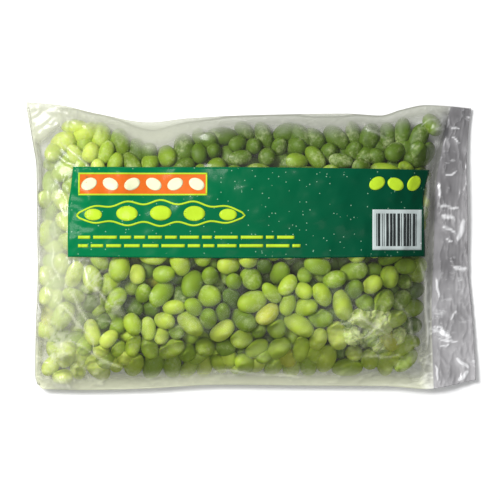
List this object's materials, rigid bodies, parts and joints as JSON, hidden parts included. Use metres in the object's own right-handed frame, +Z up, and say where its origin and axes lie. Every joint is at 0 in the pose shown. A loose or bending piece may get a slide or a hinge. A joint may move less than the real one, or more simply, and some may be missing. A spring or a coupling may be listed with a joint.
{
  "type": "bag of shelled green soybeans",
  "caption": "Clear plastic pillow bag filled with frozen shelled green soybeans, with a printed band across its front, lying flat on its back.",
  "frame": {"origin": "middle of the bag's footprint, on the surface it lies on", "axes": "+X along the bag, towards its open flat seal; +Y across it; +Z up, out of the printed front"},
  "size_m": [0.2789, 0.1784, 0.0319],
  "materials": {
    "film": "clear, frosted where it stands off the beans",
    "print": "glossy opaque print",
    "beans": "satin skin with a light frost"
  },
  "bodies": {
    "root": {"film_bag": "film", "printed_band": "print", "beans": "beans"}
  },
  "joints": []
}
